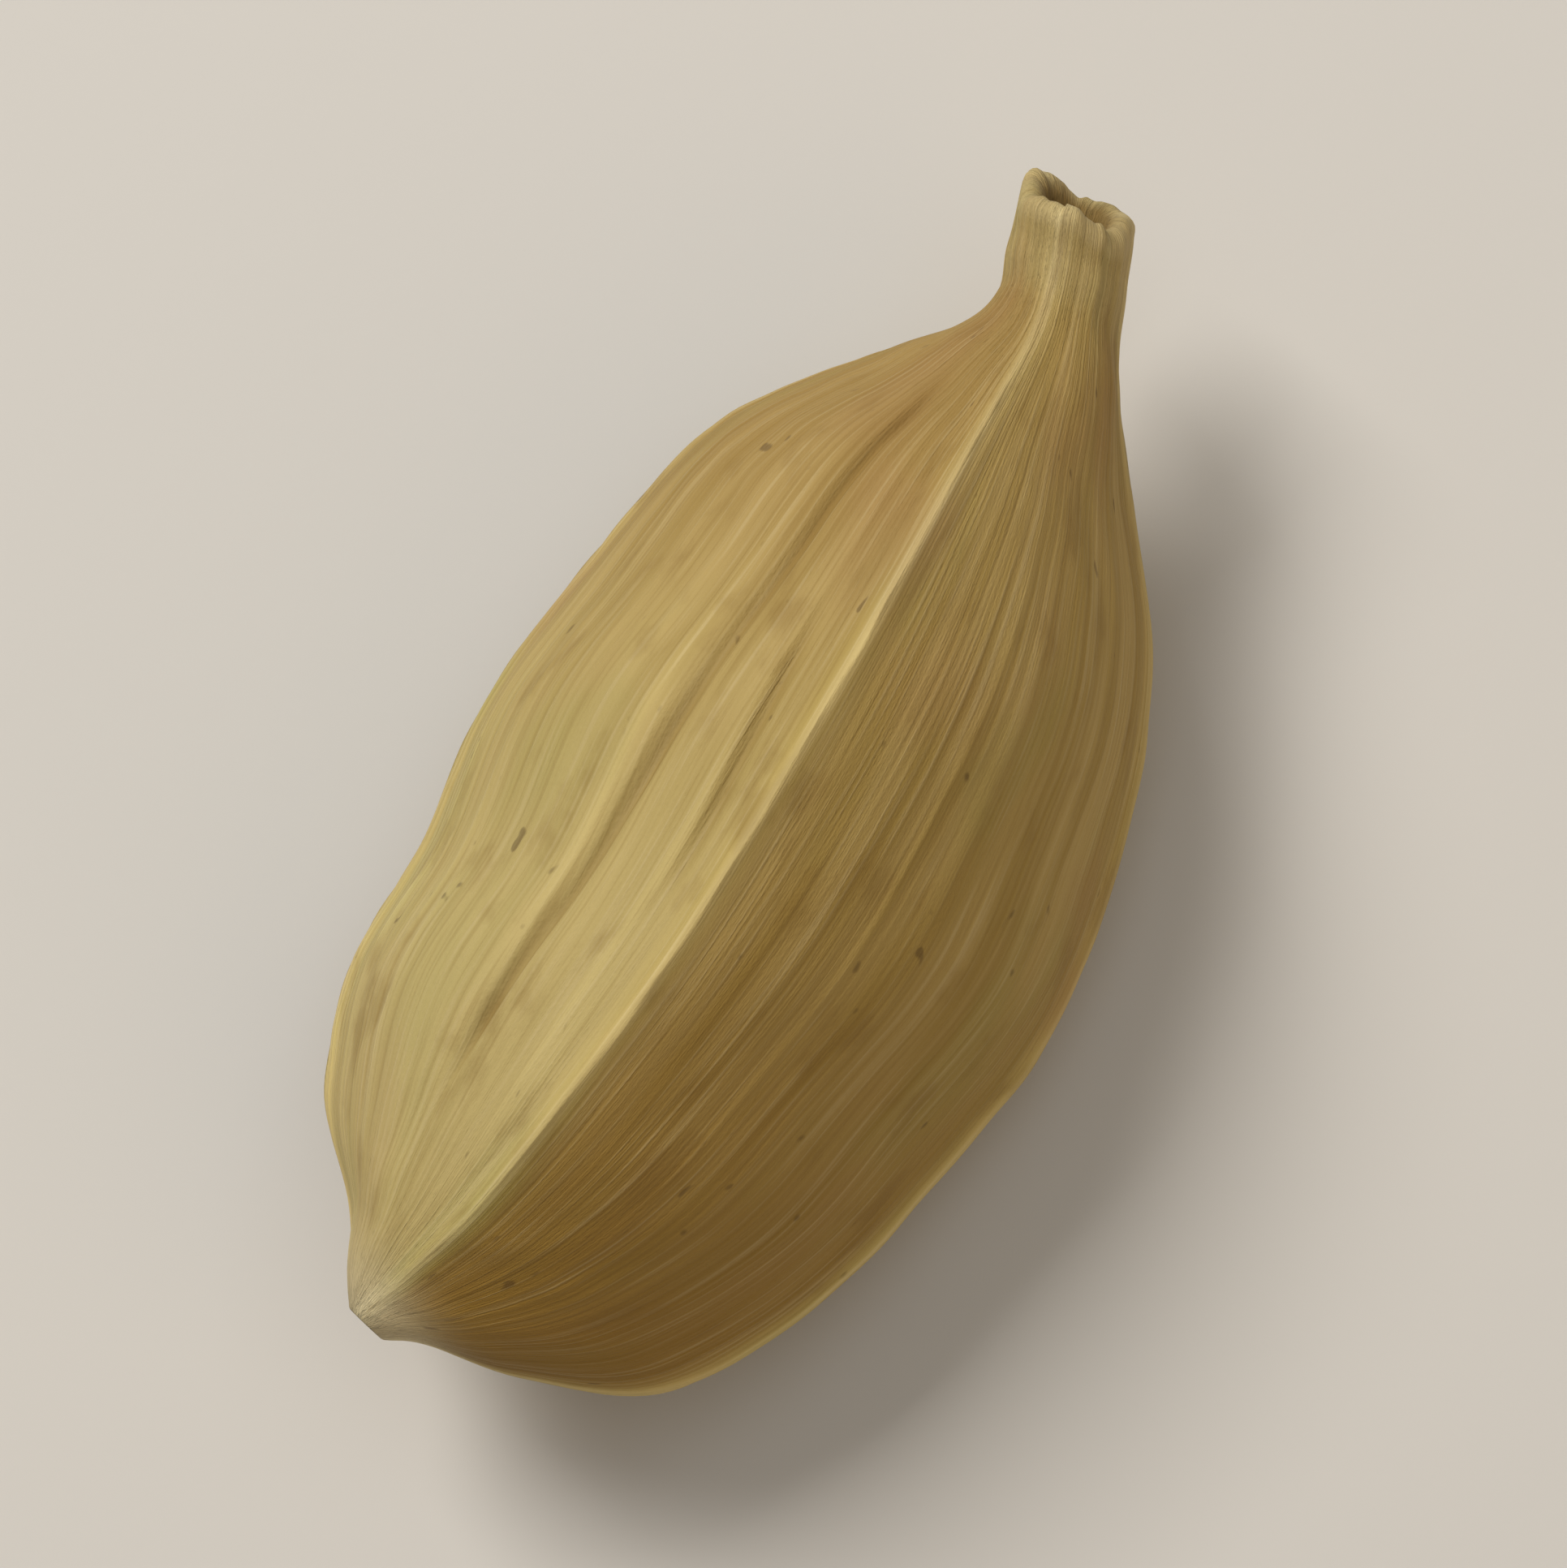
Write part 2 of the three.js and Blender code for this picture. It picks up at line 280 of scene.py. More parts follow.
@dataclass(frozen=True)
class DriedHusk:
    """Cardamom husk, picked green and dried in the shade.

    To the eye it is papery and matte, straw to olive, with long pale fibres, and darker where its
    ribs and fibres lie low. Towards the nib the left valve is greener and paler, its own green with
    painted light, and the other two valves are browner and darker, which is painted shade. The neck
    is warmer and darker, its own colour with painted shade, and the creases, the grooves beside the
    seams and the pit carry painted shade. It is bleached and horny along the seams, on the nib and
    on the stub.
    """

    straw: str = "#c4af6f"  # long dry streaks
    olive: str = "#ab9654"  # between the streaks
    leaf: str = "#97994f"  # patches that are still green
    blush: str = "#a9835a"  # patches that have reddened
    sage: str = "#cfc48c"  # the left valve towards the nib: its own green, and painted light that makes it paler
    shade_ochre: str = "#866215"  # painted shade on the other two valves, darkest towards the nib
    tan_and_shade: str = "#94703f"  # the neck: its own warm colour, and painted shade that darkens it
    horn: str = "#ecdfb6"  # the nib
    bleached: str = "#dccda0"  # the seams, the stub and the palest fibres
    furrow: str = "#7c602a"  # dust patches, low places and the scar, and painted shade in the creases and the pit
    scorched: str = "#432d16"  # specks
    fibre: Grain = Grain(0.075, 40.0, 3.0)
    cell: Grain = Grain(0.035, 2.0, 2.0)  # the real cells are finer than the render can show
    streak: Grain = Grain(0.36, 14.0, 4.0)
    mottle: Grain = Grain(2.2, 1.8, 3.0)  # the green patches
    flush: Grain = Grain(3.08, 1.3, 2.0)  # the reddened patches
    dust: Grain = Grain(0.8, 1.5, 4.0)
    speck: Grain = Grain(0.28, 1.4, 1.0)
    fibre_bump_mm: float = 0.022
    cell_bump_mm: float = 0.008
    roughness: float = 0.78  # between the fibres
    fibre_roughness: float = 0.6
    ior: float = 1.48
    specular: float = 0.3  # the loose fibres swallow much of the gloss

    def material(self) -> bpy.types.Material:
        """Builds the husk's material.

        Returns:
            A material that reads the husk's own attributes for its seams, ribs and ends.
        """
        material = bpy.data.materials.new("dried_cardamom_husk")
        material.use_nodes = True
        tree = material.node_tree
        tree.nodes.clear()
        fibre = self._noise(tree, self.fibre)
        cells = add_node(tree, "ShaderNodeBump", None, {
            "Strength": 1.0, "Distance": self.cell_bump_mm * MM,
            "Height": self._noise(tree, self.cell),
        })
        bump = add_node(tree, "ShaderNodeBump", None, {
            "Strength": 1.0, "Distance": self.fibre_bump_mm * MM, "Height": fibre,
            "Normal": cells.outputs["Normal"],
        })
        rough = add_node(tree, "ShaderNodeMapRange", None, {
            "Value": fibre, "From Min": 0.3, "From Max": 0.7,
            "To Min": self.roughness, "To Max": self.fibre_roughness,
        })
        skin = add_node(tree, "ShaderNodeBsdfPrincipled", None, {
            "Base Color": self._colour(tree, fibre), "Roughness": rough.outputs["Result"],
            "IOR": self.ior, "Specular IOR Level": self.specular, "Normal": bump.outputs["Normal"],
        })
        add_node(tree, "ShaderNodeOutputMaterial", None, {"Surface": skin.outputs["BSDF"]})
        return material

    def _noise(self, tree: bpy.types.NodeTree, grain: Grain) -> bpy.types.NodeSocket:
        """Adds noise with features of a real width, drawn out along the pod.

        Args:
            tree: The material's node tree.
            grain: The pattern's size.

        Returns:
            The socket that gives the noise, about 0.3 to 0.7.
        """
        place = add_node(tree, "ShaderNodeAttribute", {"attribute_name": "grain_mm"})
        across = 1 / grain.across_mm
        scaled = add_node(tree, "ShaderNodeMapping", None, {
            "Vector": place.outputs["Vector"], "Scale": (across, across, across / grain.stretch),
        })
        noise = add_node(tree, "ShaderNodeTexNoise", None, {
            "Vector": scaled.outputs["Vector"], "Scale": 1.0, "Detail": grain.detail,
        })
        return noise.outputs["Fac"]

    def _share(
        self,
        tree: bpy.types.NodeTree,
        source: bpy.types.NodeSocket | str,
        low: float,
        high: float,
        top: float,
    ) -> bpy.types.NodeSocket:
        """Adds a smooth ramp that turns a value into how much of a colour shows.

        Args:
            tree: The material's node tree.
            source: The socket to read, or the name of a mesh attribute.
            low: The value at which the colour starts to show.
            high: The value at which it shows most.
            top: How much of it shows there, from 0 to 1.

        Returns:
            The socket that gives the share.
        """
        if isinstance(source, str):
            read = add_node(tree, "ShaderNodeAttribute", {"attribute_name": source})
            source = read.outputs["Fac"]
        ramp = add_node(tree, "ShaderNodeMapRange", {"interpolation_type": "SMOOTHSTEP"}, {
            "Value": source, "From Min": low, "From Max": high, "To Max": top,
        })
        return ramp.outputs["Result"]

    def _colour(self, tree: bpy.types.NodeTree, fibre: bpy.types.NodeSocket) -> bpy.types.NodeSocket:
        """Lays the husk's colours over each other.

        Args:
            tree: The material's node tree.
            fibre: The noise that the fibres follow.

        Returns:
            The socket that gives the finished colour.
        """
        # What each colour follows, where in that it starts and is full, and how much of it shows
        layers = (
            (self._noise(tree, self.streak), 0.33, 0.67, 1.0, self.straw),
            (self._noise(tree, self.mottle), 0.48, 0.68, 0.38, self.leaf),
            (self._noise(tree, self.flush), 0.52, 0.72, 0.4, self.blush),
            # The left valve's own green, with painted light that makes it paler towards the nib
            ("green_and_lit_end", 0.0, 1.0, 0.5, self.sage),
            # Painted shade on the lower and right valves, darkest towards the nib
            ("painted_shade_end", 0.0, 1.0, 0.85, self.shade_ochre),
            # The neck's own warm colour with painted shade, half as strong off the left valve
            ("neck", 0.0, 1.0, 0.5, self.tan_and_shade),
            ("nib", 0.1, 1.0, 0.9, self.horn),
            ("stub", 0.0, 1.0, 0.25, self.bleached),
            ("lip", 0.0, 1.0, 0.3, self.bleached),
            (fibre, 0.52, 0.7, 0.25, self.bleached),
            (fibre, 0.48, 0.34, 0.22, self.furrow),
            # Darker where the ribs and fibres lie low
            ("furrow", 0.25, 1.0, 0.3, self.furrow),
            # Painted shade in the creases and in the grooves beside the seams
            ("crease", 0.1, 1.0, 0.36, self.furrow),
            (self._noise(tree, self.dust), 0.54, 0.72, 0.38, self.furrow),
            (self._noise(tree, self.speck), 0.73, 0.79, 0.5, self.scorched),
            ("seam", 0.5, 1.0, 0.25, self.bleached),
            ("scar", 0.0, 1.0, 0.8, self.furrow),
            # Painted shade in the pit of the stub, deepest at its bottom
            ("pit", 0.0, 1.0, 0.85, self.furrow),
        )
        colour = linear_rgba(self.olive)
        for source, low, high, top, code in layers:
            mix = add_node(tree, "ShaderNodeMix", {"data_type": "RGBA"}, {
                0: self._share(tree, source, low, high, top), 6: colour, 7: linear_rgba(code),
            })
            colour = mix.outputs[2]
        return colour


@dataclass
class Husk:
    """The whole pod: three valves, three seams, the nib of the stalk and the flower stub.

    Sizes are in millimetres, and places along the pod in stations, one for each seam point. A pair
    of stations gives where something starts to change and where it has changed.
    """

    length: float = 15.0
    width: float = 7.5
    height: float = 6.3
    full_width: float = 4.5  # of a valve: a narrower one has lower relief
    seam_ridge: float = 0.1
    seam_spread: float = 0.12
    seam_wear: float = 0.2  # how unevenly the ridges have dried, as a share of their height
    wear_pitch: float = 0.6
    crest_rounding: float = 0.35
    groove_depth: float = 0.02  # beside each seam
    groove_place: float = 0.25  # from the seam
    groove_spread: float = 0.08
    ribs: int = 9
    rib_height: float = 0.055
    rib_strengths: tuple[float, float, float] = (0.4, 1.0, 0.2)  # valve by valve
    rib_spread: float = 0.024
    rib_wander: float = 0.008
    rib_rise: tuple[float, float] = (0.0, 2.0)
    swell_pitch: float = 4.5  # stations from one swelling of a rib to the next
    fibres: int = 40
    fibre_height: float = 0.015
    fibre_strengths: tuple[float, float, float] = (1.0, 1.0, 0.7)  # valve by valve
    fibre_stray: float = 0.012  # sideways, as a share of the valve's width
    stray_pitch: float = 2.5  # in stations
    fade_pitch: float = 1.8  # in stations
    dents: tuple[Wrinkle, ...] = (Wrinkle(0.015, 0.7, 3.0, 7), Wrinkle(0.0075, 0.3, 1.4, 8))
    pucker: Wrinkle = Wrinkle(0.011, 0.4, 0.45, 9)
    pleats: Wrinkle = Wrinkle(0.028, 0.13, 1.3, 12)
    pleat_rise: tuple[float, float] = (10.3, 12.0)
    creases: tuple[Crease, ...] = (
        Crease(4.2, 5.5, 0.284, -0.028, 0.155, 0.021),
        Crease(6.2, 8.2, 0.243, -0.020, 0.13, 0.021),
        Crease(5.7, 6.3, 0.082, 0.013, 0.12, 0.016),
    )
    crease_fade: float = 0.9  # in stations
    crease_full: float = 0.16  # the depth at which the creases' painted shade is full
    seed_swell: float = 0.04
    seed_pitch: float = 3.3
    upper_bulge: float = 0.135
    lower_bulge: float = 0.215
    round_bulge: float = 0.27
    belly: tuple[float, float] = (3.0, 8.5)
    belly_fade: float = 2.5
    body: tuple[float, float] = (2.0, 10.0)  # where the husk lies over seeds
    body_fade: float = 1.5
    # Where the painted light and green on the left valve fade
    green_and_lit_fall: tuple[float, float] = (3.0, 9.0)
    # Where the painted shade on the lower and right valves fades, and what is left past it
    painted_shade_fall: tuple[float, float] = (1.0, 9.0)
    painted_shade_left: float = 0.05  # past its fall
    # Where the neck's own colour and painted shade rise and fall
    neck_rise: tuple[float, float] = (4.5, 9.0)
    neck_fall: tuple[float, float] = (10.6, 12.0)
    stub_rise: tuple[float, float] = (10.5, 12.0)
    pale_lip: tuple[float, float] = (12.5, 13.0)
    flat_depth: float = 0.17
    stub_wall: float = 0.3
    pit_depth: float = 0.45
    scar_depth: float = 0.06
    nib_reach: float = 1.1  # how far the pale nib runs into the husk
    lip_reach: float = 0.1
    lip_flare: float = 0.05
    lip_start: float = 12.1
    lip_fray: float = 0.06
    lip_frays: float = 30.0  # round the lip
    rings: int = 152
    even_rings: float = 0.6  # how far the rings are spaced by length, and not by station
    points_per_valve: int = 196
    seam_crowding: float = 0.3
    scar_pitch: float = 0.06  # from ring to ring in the scar
    pit_pitch: float = 0.08  # from ring to ring in the pit
    finish: DriedHusk = field(default_factory=DriedHusk)

    def __post_init__(self) -> None:
        """Reads the seams, the middle of each section and its rank along the pod."""
        scale = np.array([self.length / 2, self.width / 2, self.height])
        self.last = len(KEEL_SEAM) - 1
        fine = np.linspace(0, self.last, SEAM_READINGS)
        tables = (KEEL_SEAM, LEFT_SEAM, RIGHT_SEAM)
        middle = sum(follow(table, fine, scale) for table in tables) / len(tables)
        run = np.concatenate([[0], np.cumsum(np.linalg.norm(np.diff(middle, axis=0), axis=1))])
        blend = self.even_rings * run / run[-1] + (1 - self.even_rings) * fine / self.last
        self.stations = np.interp(np.linspace(0, 1, self.rings), blend, fine)
        self.along = np.interp(self.stations, fine, run)
        self.seams = [follow(table, self.stations, scale) for table in tables]
        self.centres = sum(self.seams) / len(self.seams)
        ends = sum(follow(table, np.array([self.last - 1, self.last]), scale) for table in tables)
        self.stub_axis = (ends[1] - ends[0]) / np.linalg.norm(ends[1] - ends[0])

    def build(self) -> bpy.types.Object:
        """Makes the husk's mesh in the frame's box and dresses it.

        Returns:
            The husk, in place of the solid that it stands for.
        """
        valves = [self.valve(valve) for valve in Valve]
        points = np.concatenate([points for points, _ in valves], axis=1)
        layers = {
            name: np.concatenate([values[name] for _, values in valves], axis=1)
            for name in valves[0][1]
        }
        points, layers = self.add_scar(*self.add_pit(points, layers))
        husk = self.skin(self.settle(points), layers)
        husk.data.materials.append(self.finish.material())
        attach(husk, BODY)
        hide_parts(HUSK_NODE)
        return husk

    def bulge(self, valve: Valve) -> np.ndarray:
        """Gives how strongly a valve is arched in each ring.

        Args:
            valve: Which valve.

        Returns:
            The arch's height in each ring, as a share of the valve's width.
        """
        belly = self.lower_bulge if valve is Valve.LOWER else self.upper_bulge
        flatness = window(self.stations, *self.belly, self.belly_fade)
        return self.round_bulge + (belly - self.round_bulge) * flatness

    def rib_relief(self, valve: Valve, shares: np.ndarray) -> np.ndarray:
        """Raises the ribs that run from end to end of a valve.

        Args:
            valve: Which valve.
            shares: Places across the valve, from 0 to 1.

        Returns:
            Heights in millimetres, ring by ring.
        """
        station = self.stations[:, None]
        height = np.zeros((self.rings, len(shares)))
        for rib in range(self.ribs):
            own = scatter(valve.value * self.ribs + rib + 1)
            other = scatter(31 + 3 * (valve.value * self.ribs + rib))
            wave = np.sin(2 * math.pi * (own + station / (self.last + 1) * (1 + other)))
            middle = (rib + 1 + 0.5 * (own - 0.5)) / (self.ribs + 1) + self.rib_wander * wave
            swell = 0.6 + 0.4 * np.sin(2 * math.pi * (other + station / self.swell_pitch))
            strength = self.rib_height * (0.3 + 1.4 * own**2) * swell
            height += strength * bell(shares - middle, self.rib_spread)
        return self.rib_strengths[valve.value] * height

    def fibre_relief(self, valve: Valve, shares: np.ndarray) -> np.ndarray:
        """Raises the many fine fibres between the ribs, each fading in and out on its way.

        Args:
            valve: Which valve.
            shares: Places across the valve, from 0 to 1.

        Returns:
            Heights in millimetres, ring by ring.
        """
        rng = np.random.default_rng(FIBRE_SEED + valve.value)
        stray = self.stations[:, None] / self.stray_pitch
        fade = self.stations[:, None] / self.fade_pitch
        height = np.zeros((self.rings, len(shares)))
        for fibre in range(self.fibres):
            aside = self.fibre_stray * soft_noise(stray, float(fibre), STRAY_SEED + valve.value)
            middle = (fibre + rng.uniform(0.2, 0.8)) / self.fibres + aside
            strength = 0.5 + 0.5 * soft_noise(fade, float(fibre), FADE_SEED + valve.value)
            height += rng.uniform(0.4, 1.4) * strength * bell(shares - middle, 0.35 / self.fibres)
        return self.fibre_strengths[valve.value] * self.fibre_height * height

    def crease_relief(self, valve: Valve, shares: np.ndarray) -> np.ndarray:
        """Presses the creases into the left valve.

        Args:
            valve: Which valve.
            shares: Places across the valve, from 0 to 1.

        Returns:
            Depths in millimetres, ring by ring.
        """
        station = self.stations[:, None]
        depth = np.zeros((self.rings, len(shares)))
        for crease in self.creases if valve is Valve.LEFT else ():
            along = (station - crease.start) / (crease.stop - crease.start)
            middle = crease.share + crease.drift * along
            strength = window(station, crease.start, crease.stop, self.crease_fade)
            depth += crease.depth * strength * bell(shares - middle, crease.spread)
        return depth

    def wrinkle_relief(
        self, valve: Valve, shares: np.ndarray, chord: np.ndarray, size: np.ndarray
    ) -> np.ndarray:
        """Adds the dents of the dried skin, its puckers near both ends and the stub's pleats.

        Args:
            valve: Which valve.
            shares: Places across the valve, from 0 to 1.
            chord: Width of the valve in each ring.
            size: The strength of relief in each ring.

        Returns:
            Heights in millimetres, ring by ring.
        """
        station = self.stations[:, None]
        across = shares * chord + 40 * valve.value  # far enough apart that no two valves are alike
        along = self.along[:, None]
        dents = sum(wrinkle.relief(across, along) for wrinkle in self.dents)
        # The skin is gathered most at the neck and beside the nib
        gathered = 0.6 + window(station, 8.5, 11.5, 1.5) + window(station, 1, 3, 1)
        withered = smoothstep(station, *self.pleat_rise)
        height = np.sin(math.pi * shares) * size * dents
        height += gathered * self.pucker.relief(across, along)
        return height + withered * self.pleats.relief(across, along)

    def valve(self, valve: Valve) -> tuple[np.ndarray, dict[str, np.ndarray]]:
        """Lofts one valve and its relief.

        Args:
            valve: Which valve.

        Returns:
            Its points, ring by ring, and a value at each point for every attribute.
        """
        even = np.arange(self.points_per_valve) / self.points_per_valve
        shares = even - self.seam_crowding * np.sin(2 * math.pi * even) / (2 * math.pi)
        start = self.seams[valve.value]
        across = self.seams[(valve.value + 1) % len(self.seams)] - start
        chord = np.linalg.norm(across, axis=1)
        outwards = start + across / 2 - self.centres
        unit = across / chord[:, None]
        outwards -= np.sum(outwards * unit, axis=1, keepdims=True) * unit
        outwards /= np.linalg.norm(outwards, axis=1, keepdims=True)
        arch = (self.bulge(valve) * chord)[:, None] * (1 - (2 * shares - 1) ** 2)
        flat = start[:, None] + across[:, None] * shares[:, None]
        points = flat + outwards[:, None] * arch[:, :, None]
        relief, layers = self.relief(valve, shares, chord[:, None], points[:, :, 0])
        radial = points - self.centres[:, None]
        radial /= np.linalg.norm(radial, axis=2, keepdims=True)
        points = points + radial * relief[:, :, None]
        layers["nib"] = bell(np.linalg.norm(points - self.centres[0], axis=2), self.nib_reach)
        return points + self.lip_shift((valve.value + shares) / len(Valve), radial), layers

    def lip_shift(self, turns: np.ndarray, radial: np.ndarray) -> np.ndarray:
        """Pulls the lip of the stub out into three unequal lobes and opens it a little.

        Args:
            turns: Places round the pod, as shares of a full turn.
            radial: The way outwards at each point.

        Returns:
            How far each point moves.
        """
        strength = smoothstep(self.stations, self.lip_start, self.last)[:, None, None]
        lobes = 0.7 * np.cos(2 * math.pi * (3 * turns - 0.95))
        lobes += 0.3 * np.cos(2 * math.pi * (turns - 0.4))
        frayed = self.lip_fray * soft_noise(self.lip_frays * turns, 0.5, FRAY_SEED)
        reach = (self.lip_reach * lobes + frayed)[:, None] * self.stub_axis
        return strength * (reach + self.lip_flare * radial)

    def relief(
        self, valve: Valve, shares: np.ndarray, chord: np.ndarray, x: np.ndarray
    ) -> tuple[np.ndarray, dict[str, np.ndarray]]:
        """Adds up everything that stands out of a valve or is pressed into it.

        Args:
            valve: Which valve.
            shares: Places across the valve, from 0 to 1.
            chord: Width of the valve in each ring.
            x: Place of each point along the pod.

        Returns:
            The relief in millimetres, and the values of the attributes.
        """
        station = self.stations[:, None]
        size = np.minimum(1, chord / self.full_width)
        from_seam = np.minimum(shares, 1 - shares) * chord
        ridge = fold(from_seam, self.seam_spread * (0.6 + 0.4 * size), self.crest_rounding)
        worn = soft_noise(self.along[:, None] / self.wear_pitch, float(valve.value), WEAR_SEED)
        wear = 1 + self.seam_wear * worn
        groove = size * bell(from_seam - self.groove_place, self.groove_spread)
        start = smoothstep(station, *self.rib_rise)
        ribs = size * start * self.rib_relief(valve, shares)
        fibres = (0.3 + 0.7 * size) * start * self.fibre_relief(valve, shares)
        body = window(station, *self.body, self.body_fade)
        creases = body * self.crease_relief(valve, shares)
        seed = x / self.seed_pitch + 0.5 * shares + scatter(valve.value + 5)
        seeds = self.seed_swell * np.sin(math.pi * shares) * np.sin(2 * math.pi * seed)
        relief = self.seam_ridge * (0.35 + 0.65 * size) * wear * ridge + ribs + fibres
        relief += self.wrinkle_relief(valve, shares, chord, size)
        relief += body * seeds - creases - self.groove_depth * groove
        raised = (ribs + fibres) / (self.rib_height + self.fibre_height)
        layers = self.zones(valve, ridge)
        layers["furrow"] = np.clip(1 - raised, 0, 1) * (1 - ridge)
        # Painted shade in the creases and in the grooves beside the seams
        layers["crease"] = np.clip(creases / self.crease_full + 0.25 * groove, 0, 1)
        return relief, layers

    def zones(self, valve: Valve, ridge: np.ndarray) -> dict[str, np.ndarray]:
        """Marks the stretches of a valve that have a colour of their own, painted light or painted
        shade.

        Args:
            valve: Which valve.
            ridge: How close each point is to the crest of a seam, from 0 to 1.

        Returns:
            The values of these attributes, ring by ring.
        """
        station = self.stations[:, None]
        left = float(valve is Valve.LEFT)
        # Painted light, with some of the valve's own green, on the left valve towards the nib
        green = left * (1 - smoothstep(station, *self.green_and_lit_fall))
        # Painted shade on the lower and right valves, darkest towards the nib
        shade_share = (1 - left) * (1 - (1 - self.painted_shade_left) * smoothstep(station, *self.painted_shade_fall))
        # The neck's own warm colour, with painted shade
        neck = smoothstep(station, *self.neck_rise) * (1 - smoothstep(station, *self.neck_fall))
        stub = smoothstep(station, *self.stub_rise)
        lip = smoothstep(station, *self.pale_lip)
        return {
            "seam": ridge,
            "green_and_lit_end": green * (1 - ridge),
            "painted_shade_end": shade_share * (1 - ridge),
            "neck": neck * (0.5 + 0.5 * left) * (1 - 0.5 * ridge),
            "stub": np.broadcast_to(stub, ridge.shape),
            "lip": np.broadcast_to(lip, ridge.shape),
            "pit": np.zeros_like(ridge),
            "scar": np.zeros_like(ridge),
        }

    def add_pit(
        self, points: np.ndarray, layers: dict[str, np.ndarray]
    ) -> tuple[np.ndarray, dict[str, np.ndarray]]:
        """Turns the lip of the stub in and sinks the pit where the flower stood.

        Args:
            points: The husk's rings up to the rim.
            layers: The attributes' values on them.

        Returns:
            The rings and the values, with the pit's own added.
        """
        rim, centre = points[-1], self.centres[-1]
        radius = np.linalg.norm(rim - centre, axis=1).mean()
        inner = 1 - self.stub_wall / radius
        # Each ring's width as a share of the rim's, how far out it stands and how dark it is
        # The pit's darkness is painted shade, deeper towards its bottom
        turns = (
            (0.96 + 0.04 * inner, 0.15 * self.stub_wall, 0.0),
            (0.85 + 0.15 * inner, 0.30 * self.stub_wall, 0.0),
            (0.70 + 0.30 * inner, 0.41 * self.stub_wall, 0.0),
            (0.50 + 0.50 * inner, 0.45 * self.stub_wall, 0.1),
            (0.25 + 0.75 * inner, 0.35 * self.stub_wall, 0.4),
            (inner, 0.1 * self.stub_wall, 0.8),
            (0.9 * inner, -0.3 * self.pit_depth, 1.0),
            (0.8 * inner, -0.6 * self.pit_depth, 1.0),
            (0.4 * inner, -self.pit_depth, 1.0),
        )
        rings = [points]
        for scale, shift, _ in turns:
            rings.append((centre + (rim - centre) * scale + self.stub_axis * shift)[None])
        grown = {}
        for name, values in layers.items():
            last = [values[-1:]] * len(turns)
            if name == "pit":
                last = [np.full_like(values[-1:], dark) for _, _, dark in turns]
            grown[name] = np.concatenate([values, *last])
        return np.concatenate(rings), grown

    def add_scar(
        self, points: np.ndarray, layers: dict[str, np.ndarray]
    ) -> tuple[np.ndarray, dict[str, np.ndarray]]:
        """Turns the end of the nib in, to the round scar that the stalk left.

        Args:
            points: The husk's rings, from the nib on.
            layers: The attributes' values on them.

        Returns:
            The rings and the values, with the scar's own put first.
        """
        rim, centre = points[0], self.centres[0]
        # Each ring's width as a share of the rim's, how deep it lies and how dark it is
        turns = ((0.35, 0.9, 1.0), (0.6, 0.8, 1.0), (0.78, 0.2, 0.6), (0.9, -0.2, 0.2))
        inwards = np.array([self.scar_depth, 0, 0])
        rings = [(centre + (rim - centre) * scale + inwards * deep)[None] for scale, deep, _ in turns]
        grown = {}
        for name, values in layers.items():
            first = [values[:1]] * len(turns)
            if name == "scar":
                first = [np.full_like(values[:1], dark) for _, _, dark in turns]
            grown[name] = np.concatenate([*first, values])
        self.scar_rings = len(turns)
        return np.concatenate([*rings, points]), grown

    def settle(self, points: np.ndarray) -> np.ndarray:
        """Pares the flat spot and fits the husk to the solid that it stands for.

        Args:
            points: The husk's rings, in millimetres.

        Returns:
            The rings in metres, in the frame.
        """
        points = points.copy()
        floor = points[:, :, 2].min() + self.flat_depth
        points[:, :, 2] = np.maximum(points[:, :, 2], floor)
        low, high = points.min(axis=(0, 1)), points.max(axis=(0, 1))
        box_low, box_high = (np.array(corner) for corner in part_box(HUSK_NODE))
        return box_low + (points - low) / (high - low) * (box_high - box_low)

    def skin(self, rings: np.ndarray, layers: dict[str, np.ndarray]) -> bpy.types.Object:
        """Closes a mesh over the rings and gives it its attributes.

        Args:
            rings: Points of all rings, in metres.
            layers: A value at each point for every attribute.

        Returns:
            The husk as an object.
        """
        count, around, _ = rings.shape
        scar = rings[0].mean(axis=0)
        floor = rings[-1].mean(axis=0)
        points = np.vstack([rings.reshape(-1, 3), scar, floor])
        first, last = len(points) - 2, len(points) - 1
        faces = [(first, i, (i + 1) % around) for i in range(around)]
        for ring in range(count - 1):
            here, there = ring * around, (ring + 1) * around
            for i in range(around):
                j = (i + 1) % around
                faces.append((here + i, there + i, there + j, here + j))
        end = (count - 1) * around
        faces += [(last, end + (i + 1) % around, end + i) for i in range(around)]
        mesh = bpy.data.meshes.new("pod_husk")
        mesh.from_pydata(points.tolist(), [], faces)
        mesh.shade_smooth()
        for name, values in layers.items():
            ends = [values[0].mean(), values[-1].mean()]
            store = mesh.attributes.new(name, "FLOAT", "POINT")
            store.data.foreach_set("value", np.concatenate([values.ravel(), ends]))
        grain = self.grain_space(count, around)
        store = mesh.attributes.new("grain_mm", "FLOAT_VECTOR", "POINT")
        store.data.foreach_set("vector", grain.ravel())
        mesh.validate()
        husk = bpy.data.objects.new("pod_husk", mesh)
        bpy.context.scene.collection.objects.link(husk)
        return husk

